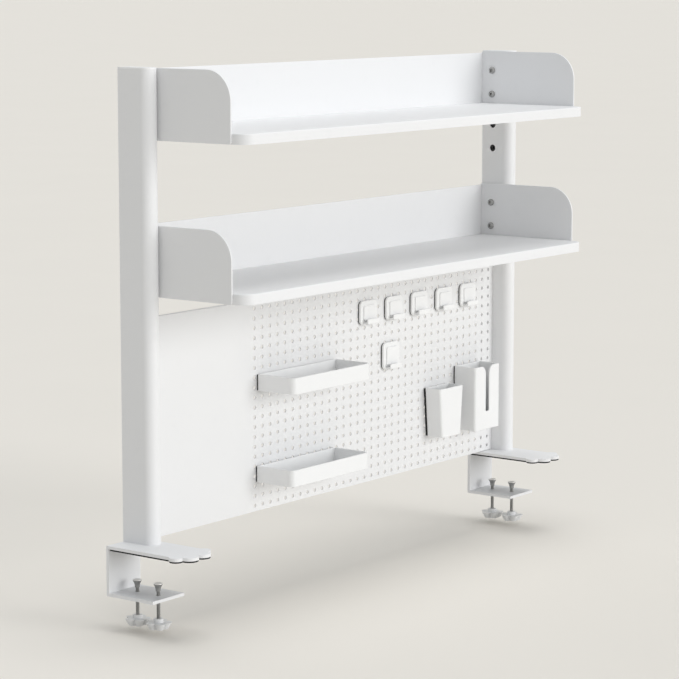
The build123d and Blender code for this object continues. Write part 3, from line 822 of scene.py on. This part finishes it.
class DESKSHELF_OT_shelf_screws(bpy.types.Operator):
    """Model the socket screws that hold the end plates to the posts"""
    bl_idname = "desk_shelf.shelf_screws"
    bl_label = "Shelf screws"

    def execute(self, context):
        sizes = context.scene.shelf_frame
        low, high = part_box("shelf_screws")
        y = (low.y + high.y) / 2
        head_radius = (high.y - low.y) / 2
        pieces = []
        for side in SIDES:
            way = 1 if side == "left" else -1
            far = low.x if side == "left" else high.x
            for level in LEVELS:
                plate_low, plate_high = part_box(level + "_" + side + "_end_plate")
                face = plate_high.x if side == "left" else plate_low.x
                first = plate_high.z - sizes.hole_drop
                for z in (first, first - sizes.hole_pair):
                    pieces.append(shelf_screw(way, face, far, y, z, head_radius))
        screws = join_pieces(pieces, "shelf_screw_set")
        finish_piece(screws, SCREW_STEEL, "frame", "shelf_screws")
        return {"FINISHED"}


# Clamps

# Half the height of a thread's crest as a share of its pitch.
THREAD_CREST = 0.15
# Shares to which a pressure pad's cone is drawn in to make a trumpet, from the neck upwards.
FOOT_WAISTS = (0.85, 0.81, 0.87)
# Widths of the flat ring on a pad and of the slope inside it, the slope's depth and the rounding of
# the pad's edges, as shares of its radius.
FOOT_RING = 0.25
FOOT_DISH = 0.08
FOOT_DISH_DEPTH = 0.06
FOOT_SOFT = 0.05
# Share of the pad's rim, from its top, that gets the painted highlight: a brighter colour standing in for
# the light on the pad's top.
FOOT_PAINTED_HIGHLIGHT = 0.6
# Depth of the pad's socket for the rod, and the gap round the rod in it.
FOOT_SOCKET = 0.0065
ROD_FIT = 0.00006
# Radius of a knob's core as a share of the distance of its lobes.
KNOB_CORE = 0.98
# Rounding of a knob's edges and of its hub's edge. The dish below is as deep as the hub's rounding.
KNOB_ROUND = 0.0011
HUB_ROUND = 0.0008


def scallop(left, right, front, sizes, z_low, z_high, inset=0.0):
    """Round lobes in front of a clamp's top plate, between two heights."""
    middle = (left + right) / 2
    half = (right - left) / 2
    outer_offset = half - sizes.outer_lobe_inset
    inner_offset = sizes.inner_lobe_spacing / 2
    ahead = front - sizes.inner_lobe_reach
    web = start_box("lobe", (middle - outer_offset, ahead, z_low),
                    (middle + outer_offset, front + inset, z_high))
    pick(web, "VERT", lambda v: v.co.y < ahead + NEAR)
    bpy.ops.transform.resize(value=(inner_offset / outer_offset, 1, 1),
                             center_override=(middle, ahead, z_low))
    leave_edit()
    lobes = [web]
    for way in (-1, 1):
        for radius, offset, y in ((sizes.outer_lobe, outer_offset, front),
                                  (sizes.inner_lobe, inner_offset, ahead)):
            place = (middle + way * offset, y)
            lobes.append(upright("lobe", radius - inset, place, z_low, z_high, sides=40))
    return lobes


def clamp_sides(sizes):
    """Left and right side of the left clamp's straight part."""
    low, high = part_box("left_clamp_bracket")
    past = sizes.outer_lobe - sizes.outer_lobe_inset
    return low.x + past, high.x - past


def lower_plate_front():
    """Front edge of the lower plate, read from the CAD bracket."""
    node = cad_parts["left_clamp_bracket"]
    lowest = min(v.co.z for v in node.data.vertices)
    return min(v.co.y for v in node.data.vertices if v.co.z < lowest + NEAR)


def upper_ring(bracket, height):
    """Cut a bracket's upright edges in half and move the new ring up to a height."""
    pick(bracket, "EDGE", edge_at("z"))
    bpy.ops.mesh.subdivide(number_cuts=1)
    leave_edit()
    middle = sorted({round(v.co.z, 5) for v in bracket.data.vertices})[1]
    pick(bracket, "VERT", lambda v: abs(v.co.z - middle) < NEAR)
    bpy.ops.transform.translate(value=(0, 0, height - middle))
    leave_edit()


def lower_ring(bracket, height):
    """Cut a ring of edges into a bracket at a height."""
    make_active(bracket)
    bpy.ops.object.mode_set(mode="EDIT")
    bpy.ops.mesh.select_all(action="SELECT")
    bpy.ops.mesh.bisect(plane_co=(0, 0, height), plane_no=UP)
    leave_edit()


def nut_drills(sizes, low):
    """Cylinders where the screws go through the lower plate."""
    past = sizes.plate
    places = [middle_of("left_" + row + "_screw_rod") for row in ROWS]
    return [upright("drill", sizes.nut_hole / 2, at, low.z - past, low.z + sizes.plate + past, sides=28)
            for at in places]


class DESKSHELF_OT_brackets(bpy.types.Operator):
    """Model the clamps: steel plate bent round the desk's edge, scalloped in front"""
    bl_idname = "desk_shelf.brackets"
    bl_label = "Clamp brackets"

    def execute(self, context):
        sizes = context.scene.shelf_clamps
        edge = context.scene.shelf_frame.coat_edge
        low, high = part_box("left_clamp_bracket")
        left, right = clamp_sides(sizes)
        front = -sizes.lobe_line
        back_face = high.y - sizes.plate
        upper_face = high.z - sizes.plate
        lower_face = low.z + sizes.plate
        bracket = start_box("left_clamp_plate", (left, back_face, low.z), (right, high.y, high.z))
        upper_ring(bracket, upper_face)
        lower_ring(bracket, lower_face)
        forward = facing(FORWARD)
        extrude(bracket, lambda face: forward(face) and face.calc_center_median().z > upper_face,
                (0, front - back_face, 0))
        extrude(bracket, lambda face: forward(face) and face.calc_center_median().z < lower_face,
                (0, lower_plate_front() - back_face, 0))
        outer = either(edge_at("x", y=high.y, z=high.z), edge_at("x", y=high.y, z=low.z))
        round_edges(bracket, outer, sizes.bend, segments=5)
        lobes = scallop(left, right, front, sizes, upper_face, high.z)
        combine(bracket, lobes, "UNION")
        combine(bracket, nut_drills(sizes, low), "DIFFERENCE")
        soften(bracket, edge, segments=2)
        finish_twins(bracket, "right_clamp_plate", ("left_clamp_bracket", "right_clamp_bracket"), COATED,
                     ("frame", "frame"))
        return {"FINISHED"}


class DESKSHELF_OT_desk_pads(bpy.types.Operator):
    """Model the black rubber sheets under the clamps"""
    bl_idname = "desk_shelf.desk_pads"
    bl_label = "Desk pads"

    def execute(self, context):
        sizes = context.scene.shelf_clamps
        edge = context.scene.shelf_frame.coat_edge
        low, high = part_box("left_desk_pad")
        left, right = clamp_sides(sizes)
        front = -sizes.lobe_line
        pad = start_box("left_rubber", (left + edge, front, low.z), (right - edge, high.y, high.z))
        combine(pad, scallop(left, right, front, sizes, low.z, high.z, edge), "UNION")
        soften(pad, edge / 2, segments=2)
        finish_twins(pad, "right_rubber", ("left_desk_pad", "right_desk_pad"), ("rubber", "black_rubber"),
                     ("frame", "frame"))
        return {"FINISHED"}


def threaded_rod(sizes):
    """One turn's profile, screwed up along the rod and closed at both ends."""
    low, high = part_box("left_rear_screw_rod")
    x, y = middle_of("left_rear_screw_rod")
    pitch = sizes.thread_pitch
    turns = round((high.z - low.z) / pitch) - 1
    clear_selection()
    root = rod_radius() - sizes.thread_depth
    bpy.ops.mesh.primitive_plane_add(size=pitch, location=(root, 0, pitch / 2),
                                     rotation=(0, math.pi / 2, 0))
    rod = settle(bpy.context.object)
    rod.name = "left_rear_thread"
    pick(rod, "VERT", lambda v: v.co.y > 0)
    bpy.ops.mesh.delete(type="VERT")
    bpy.ops.mesh.select_all(action="SELECT")
    bpy.ops.mesh.subdivide(number_cuts=3)
    leave_edit()
    pick(rod, "VERT", lambda v: abs(v.co.z - pitch / 2) < pitch * THREAD_CREST)
    bpy.ops.transform.translate(value=(sizes.thread_depth, 0, 0))
    bpy.ops.mesh.select_all(action="SELECT")
    bpy.ops.transform.translate(value=(0, pitch / 2, 0))
    leave_edit()
    use_modifier(rod, "SCREW", angle=math.tau, steps=20, render_steps=20, iterations=turns,
                 screw_offset=pitch, use_merge_vertices=True, merge_threshold=pitch / 100)
    pick(rod, "EDGE", lambda edge: edge.is_boundary)
    bpy.ops.mesh.edge_face_add()
    leave_edit()
    make_active(rod)
    bpy.ops.transform.translate(value=(x, y, low.z))
    return settle(rod)


class DESKSHELF_OT_screw_rods(bpy.types.Operator):
    """Model the threaded rods of the clamp screws"""
    bl_idname = "desk_shelf.screw_rods"
    bl_label = "Clamp screw rods"

    def execute(self, context):
        rod = threaded_rod(context.scene.shelf_clamps)
        finish_copies(rod, clamp_screw_copies("_thread", "_screw_rod", "_screw"), SCREW_STEEL)
        return {"FINISHED"}


def pressure_pad(sizes):
    """A cone drawn in to a trumpet shape, with a rim, a dished top and a socket below."""
    low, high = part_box("left_rear_screw_pad")
    x, y = middle_of("left_rear_screw_pad")
    radius = (high.x - low.x) / 2
    rim = high.z - sizes.foot_rim
    pad = start_round("left_rear_foot", sizes.foot_neck / 2, (x, y, low.z), (x, y, rim), sides=32,
                      top_radius=radius)
    pick(pad, "EDGE", sloping)
    bpy.ops.mesh.subdivide(number_cuts=len(FOOT_WAISTS))
    leave_edit()
    for step, waist in enumerate(FOOT_WAISTS, start=1):
        z = low.z + (rim - low.z) * step / (len(FOOT_WAISTS) + 1)
        squeeze(pad, z, (waist, waist), (x, y, z))
    extrude(pad, facing(UP), (0, 0, sizes.foot_rim))
    pick(pad, "FACE", facing(UP))
    bpy.ops.mesh.inset(thickness=radius * FOOT_RING, depth=0)
    bpy.ops.mesh.inset(thickness=radius * FOOT_DISH, depth=-radius * FOOT_DISH_DEPTH)
    leave_edit()
    soften(pad, radius * FOOT_SOFT, segments=2, sharper_than=50)
    bore = upright("bore", rod_radius() + ROD_FIT, (x, y), low.z - sizes.foot_rim,
                   low.z + FOOT_SOCKET, sides=24)
    return combine(pad, [bore], "DIFFERENCE")


class DESKSHELF_OT_screw_pads(bpy.types.Operator):
    """Model the trumpet-shaped pressure pads on the clamp screws"""
    bl_idname = "desk_shelf.screw_pads"
    bl_label = "Pressure pads"

    def execute(self, context):
        pad = pressure_pad(context.scene.shelf_clamps)
        finish_copies(pad, clamp_screw_copies("_foot", "_screw_pad", "_screw_pad"), ("foot", "grey_steel"))
        return {"FINISHED"}


def star_knob(sizes):
    """A round core with lobes, drawn in at its foot, with a hub, a bore and a dish below."""
    low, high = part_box("left_rear_screw_knob")
    x, y = at = middle_of("left_rear_screw_rod")
    shoulder = high.z - sizes.hub_height
    reach = high.y - y - sizes.knob_lobe
    knob = upright("left_rear_star", reach * KNOB_CORE, at, low.z, shoulder, sides=40)
    lobes = []
    for lobe in range(sizes.knob_lobes):
        turn = math.tau / 4 + math.tau * lobe / sizes.knob_lobes
        place = (x + reach * math.cos(turn), y + reach * math.sin(turn))
        lobes.append(upright("lobe", sizes.knob_lobe, place, low.z, shoulder, sides=28))
    combine(knob, lobes, "UNION")
    squeeze(knob, low.z, (sizes.knob_foot, sizes.knob_foot), (x, y, low.z))
    soften(knob, KNOB_ROUND, sharper_than=50)
    hub = upright("hub", sizes.hub_radius, at, shoulder - KNOB_ROUND * 2, high.z, sides=36)
    bevel_faces(hub, facing(UP), HUB_ROUND, segments=3)
    combine(knob, [hub], "UNION")
    rod_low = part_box("left_rear_screw_rod")[0]
    bore = upright("bore", rod_radius(), at, rod_low.z, high.z + HUB_ROUND, sides=28)
    dish = upright("dish", sizes.hub_radius, at, low.z - HUB_ROUND, low.z + HUB_ROUND, sides=28)
    return combine(knob, [bore, dish], "DIFFERENCE")


class DESKSHELF_OT_knobs(bpy.types.Operator):
    """Model the star knobs: round lobes that narrow downwards, with a hub on top"""
    bl_idname = "desk_shelf.knobs"
    bl_label = "Star knobs"

    def execute(self, context):
        knob = star_knob(context.scene.shelf_clamps)
        finish_copies(knob, clamp_screw_copies("_star", "_screw_knob", "_screw"), ("knob", "knob_plastic"))
        return {"FINISHED"}


# Accessories

# Radius at the lower end of the box's slot.
SLOT_FOOT = 0.002
# Rounding of a hook plate's front edge, and radius of its raised face's corners.
HOOK_SOFT = 0.00128
HOOK_FACE_CORNER = 0.0025


def open_box(name, node, corner, wall):
    """A box with round front corners that is hollow from above."""
    low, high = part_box(node)
    box = start_box(name, low, high)
    round_edges(box, upright_edges(low, high, low.y), corner, segments=8)
    sink(box, UP, wall, high.z - low.z - wall)
    return box


class DESKSHELF_OT_trays(bpy.types.Operator):
    """Model the two long open trays"""
    bl_idname = "desk_shelf.trays"
    bl_label = "Trays"

    def execute(self, context):
        sizes = context.scene.shelf_accessories
        trays = ("upper_tray", "lower_tray")
        tray = open_box("upper_tray_shell", trays[0], sizes.tray_corner, sizes.tray_wall)
        soften(tray, sizes.soft_edge)
        finish_twins(tray, "lower_tray_shell", trays, MOULDED, trays)
        return {"FINISHED"}


class DESKSHELF_OT_pen_cup(bpy.types.Operator):
    """Model the pen cup, which widens upwards"""
    bl_idname = "desk_shelf.pen_cup"
    bl_label = "Pen cup"

    def execute(self, context):
        sizes = context.scene.shelf_accessories
        low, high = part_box("pen_cup")
        x, y = middle_of("pen_cup")
        width = high.x - low.x
        wall = sizes.cup_wall
        cup = start_box("pen_cup_shell", low, high)
        squeeze(cup, low.z, (sizes.cup_foot / width, 1), (x, y, low.z))
        round_edges(cup, sloping, sizes.cup_corner, segments=6)
        sink(cup, UP, wall, high.z - low.z - wall)
        floor = low.z + wall
        share = (sizes.cup_foot - 2 * wall) / (width - 2 * wall)
        squeeze(cup, floor, (share, 1), (x, y, floor))
        soften(cup, sizes.soft_edge)
        finish_piece(cup, MOULDED, "pen_cup", "pen_cup")
        return {"FINISHED"}


class DESKSHELF_OT_slotted_box(bpy.types.Operator):
    """Model the box with a slot in its front"""
    bl_idname = "desk_shelf.slotted_box"
    bl_label = "Slotted box"

    def execute(self, context):
        sizes = context.scene.shelf_accessories
        low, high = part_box("slotted_box")
        box = open_box("slotted_box_shell", "slotted_box", sizes.box_corner, sizes.box_wall)
        x = middle_of("slotted_box")[0]
        left = x - sizes.slot_width / 2
        right = x + sizes.slot_width / 2
        floor = low.z + sizes.slot_floor
        slot = start_box("slot", (left, low.y - CUT_PAST, floor),
                         (right, low.y + sizes.box_wall + CUT_PAST, high.z + CUT_PAST))
        combine(box, [slot], "DIFFERENCE")
        mouth = either(edge_at("y", x=left, z=high.z), edge_at("y", x=right, z=high.z))
        round_edges(box, mouth, sizes.slot_mouth, segments=12)
        foot = either(edge_at("y", x=left, z=floor), edge_at("y", x=right, z=floor))
        round_edges(box, foot, SLOT_FOOT, segments=5)
        soften(box, sizes.soft_edge)
        finish_piece(box, MOULDED, "slotted_box", "slotted_box")
        return {"FINISHED"}


def soft_slab(name, low, high, corner, soft):
    """Plate with round corners whose front edge is soft."""
    slab = start_box(name, low, high)
    round_edges(slab, edge_at("y"), corner, segments=8)
    bevel_faces(slab, facing(FORWARD), soft, segments=4)
    return slab


def hook_shell(name, node, sizes):
    """A plate, its raised face and an arm that ends in a lip."""
    low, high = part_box(node)
    face_y = high.y - sizes.hook_plate
    raised_y = face_y - sizes.hook_face
    border = sizes.hook_border
    plate = soft_slab(name, (low.x, face_y, low.z), high, sizes.hook_corner, HOOK_SOFT)
    raised = soft_slab("raised", (low.x + border, raised_y, low.z + border),
                       (high.x - border, face_y + OVERLAP, high.z - border),
                       HOOK_FACE_CORNER, sizes.soft_edge)
    middle = (low.x + high.x) / 2
    left = middle - sizes.lip_width / 2
    right = middle + sizes.lip_width / 2
    base = low.z + sizes.lip_rise
    inner = raised_y - sizes.lip_reach
    arm = start_box("arm", (left, inner, base), (right, face_y + OVERLAP, base + sizes.lip_thickness))
    extrude(arm, facing(FORWARD), (0, low.y - inner, 0))
    upward = facing(UP)
    extrude(arm, lambda face: upward(face) and face.calc_center_median().y < inner,
            (0, 0, sizes.lip_height - sizes.lip_thickness))
    round_edges(arm, edge_at("y", z=base + sizes.lip_height), sizes.lip_thickness, segments=5)
    soften(arm, sizes.soft_edge)
    return combine(plate, [raised, arm], "UNION")


class DESKSHELF_OT_hooks(bpy.types.Operator):
    """Model the hooks: a soft square plate, a raised face and an upturned lip"""
    bl_idname = "desk_shelf.hooks"
    bl_label = "Hooks"

    def execute(self, context):
        sizes = context.scene.shelf_accessories
        hook = hook_shell("hook_shell", HOOKS[0], sizes)
        finish_copies(hook, [(name + "_shell", name, name) for name in HOOKS], MOULDED)
        tall = hook_shell("tall_hook_shell", "tall_hook", sizes)
        finish_piece(tall, MOULDED, "tall_hook", "tall_hook")
        return {"FINISHED"}


# CAD nodes that stay

class DESKSHELF_OT_carried_nodes(bpy.types.Operator):
    """Give the CAD nodes that stay in view their finishes"""
    bl_idname = "desk_shelf.carried_nodes"
    bl_label = "Carried nodes"

    def execute(self, context):
        finishes = {"panel": "panel", "panel_flanges": "coat"}
        for level in LEVELS:
            finishes[level + "_shelf_rail"] = "coat"
        for name in ("clamp_nuts", "post_foot_blocks", "post_foot_screws", "post_nut_plates",
                     "panel_nuts", "panel_screws"):
            finishes[name] = "zinc"
        # The magnet sheets are real mounts whose near-black finish is painted shade of the gap behind each
        # accessory.
        for name in ACCESSORIES:
            finishes[name + "_magnet_sheet"] = "magnet"
        for name, finish in finishes.items():
            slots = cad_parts[name].material_slots
            for slot in slots:
                slot.material = materials[finish]
        return {"FINISHED"}


# Studio

# The camera's turn about the upright axis and its tilt down from the horizon, in degrees, its distance
# from the origin's depth, its place right of the origin and above it along its own upright, and its
# focal length and sensor in millimetres.
CAMERA_TURN = -52.895
CAMERA_TILT = 8.249
CAMERA_DISTANCE = 3.588847
CAMERA_RIGHT = 0.020885
CAMERA_UP = 0.215117
LENS = 136.065
SENSOR_WIDTH = 36
# Directions in which the lamps stand. Their strengths have the same names in the sidebar.
LAMPS = {
    "front": (0.20, -0.96, 0.19),
    "top": (0.05, -0.15, 1.0),
    "back": (0.35, 0.90, 0.30),
}


def add_floor(studio, tint):
    clear_selection()
    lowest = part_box("left_rear_screw_knob")[0].z - studio.floor_drop
    bpy.ops.mesh.primitive_plane_add(size=studio.floor_size, location=(0, 0, lowest))
    floor = settle(bpy.context.object)
    floor.name = "studio_floor"
    recipe = Recipe("studio_floor")
    grain = recipe.noise(scale=3.0)
    base = recipe.tones(grain, tint, darkest=0.99, lightest=1.01)
    floor.data.materials.append(recipe.set(Base_Color=base, Roughness=0.9, Specular_IOR_Level=0.1))


def add_world(scene, studio, sky, backdrop):
    """Light all round; the camera, mirrors and glass see the floor's colour instead."""
    scene.world = bpy.data.worlds.new("studio_world")
    recipe = WorldRecipe(scene.world)
    share = recipe.node("ShaderNodeLightPath", {}, {}, "Is Camera Ray")
    for kind in ("Is Glossy Ray", "Is Transmission Ray"):
        share = share.sum("MAXIMUM", share, recipe.node("ShaderNodeLightPath", {}, {}, kind))
    light = recipe.node("ShaderNodeBackground", {}, {"Color": (*sky, 1), "Strength": studio.world})
    seen = recipe.node("ShaderNodeBackground", {}, {"Color": (*backdrop, 1)})
    mix = recipe.node("ShaderNodeMixShader", {}, {0: share, 1: light, 2: seen})
    recipe.tree.links.new(mix.socket, recipe.tree.nodes["World Output"].inputs["Surface"])


def add_lamp(name, towards, spread, strength):
    """A distant soft lamp that stands in a direction from the object."""
    clear_selection()
    turn = Vector(towards).to_track_quat("Z", "Y").to_euler()
    bpy.ops.object.light_add(type="SUN", location=Vector(towards), rotation=turn)
    lamp = bpy.context.object
    lamp.name = name
    lamp.data.angle = spread
    lamp.data.energy = strength


def add_camera(scene):
    turn = math.radians(CAMERA_TURN)
    tilt = math.radians(CAMERA_TILT)
    back = Vector((math.sin(turn) * math.cos(tilt), -math.cos(turn) * math.cos(tilt), math.sin(tilt)))
    right = Vector((math.cos(turn), math.sin(turn), 0))
    up = back.cross(right)
    place = right * CAMERA_RIGHT + up * CAMERA_UP + back * CAMERA_DISTANCE
    clear_selection()
    bpy.ops.object.camera_add(location=place, rotation=(math.pi / 2 - tilt, 0, turn))
    camera = bpy.context.object
    camera.name = "studio_camera"
    camera.data.lens = LENS
    camera.data.sensor_width = SENSOR_WIDTH
    scene.camera = camera


class DESKSHELF_OT_stage(bpy.types.Operator):
    """Add the floor, the lamps and the camera"""
    bl_idname = "desk_shelf.stage"
    bl_label = "Stage"

    def execute(self, context):
        studio = context.scene.shelf_studio
        colours = context.scene.shelf_colours
        add_floor(studio, tuple(colours.floor))
        add_world(context.scene, studio, tuple(colours.sky), tuple(colours.backdrop))
        for place, towards in LAMPS.items():
            add_lamp(place + "_light", towards, studio.spread, getattr(studio, place))
        add_camera(context.scene)
        context.scene.view_settings.view_transform = "Standard"
        return {"FINISHED"}


OPERATORS = (
    DESKSHELF_OT_materials, DESKSHELF_OT_posts, DESKSHELF_OT_caps, DESKSHELF_OT_boards,
    DESKSHELF_OT_back_plates, DESKSHELF_OT_end_plates, DESKSHELF_OT_shelf_screws,
    DESKSHELF_OT_brackets, DESKSHELF_OT_desk_pads, DESKSHELF_OT_screw_rods,
    DESKSHELF_OT_screw_pads, DESKSHELF_OT_knobs, DESKSHELF_OT_trays, DESKSHELF_OT_pen_cup,
    DESKSHELF_OT_slotted_box, DESKSHELF_OT_hooks, DESKSHELF_OT_carried_nodes, DESKSHELF_OT_stage,
)
GROUPS = {
    "shelf_frame": DeskShelfFrameSizes,
    "shelf_clamps": DeskShelfClampSizes,
    "shelf_accessories": DeskShelfAccessorySizes,
    "shelf_pattern": DeskShelfPanelPattern,
    "shelf_colours": DeskShelfColours,
    "shelf_studio": DeskShelfStudio,
}


class DESKSHELF_PT_sidebar(bpy.types.Panel):
    """Lists the pieces of the desk shelf"""
    bl_idname = "DESKSHELF_PT_sidebar"
    bl_label = "Desk Shelf"
    bl_space_type = "VIEW_3D"
    bl_region_type = "UI"
    bl_category = "Desk Shelf"

    def draw(self, context):
        for operator in OPERATORS:
            self.layout.operator(operator.bl_idname)
        for key in GROUPS:
            group = getattr(context.scene, key)
            column = self.layout.column(align=True)
            for name in group.__annotations__:
                column.prop(group, name)


def register():
    for group in GROUPS.values():
        bpy.utils.register_class(group)
    for key, group in GROUPS.items():
        setattr(bpy.types.Scene, key, bpy.props.PointerProperty(type=group))
    for operator in OPERATORS:
        bpy.utils.register_class(operator)
    bpy.utils.register_class(DESKSHELF_PT_sidebar)


def unregister():
    bpy.utils.unregister_class(DESKSHELF_PT_sidebar)
    for operator in reversed(OPERATORS):
        bpy.utils.unregister_class(operator)
    for key in GROUPS:
        delattr(bpy.types.Scene, key)
    for group in reversed(GROUPS.values()):
        bpy.utils.unregister_class(group)


def main():
    register()
    for operator in OPERATORS:
        group, name = operator.bl_idname.split(".")
        getattr(getattr(bpy.ops, group), name)()


if __name__ == "__main__":
    main()
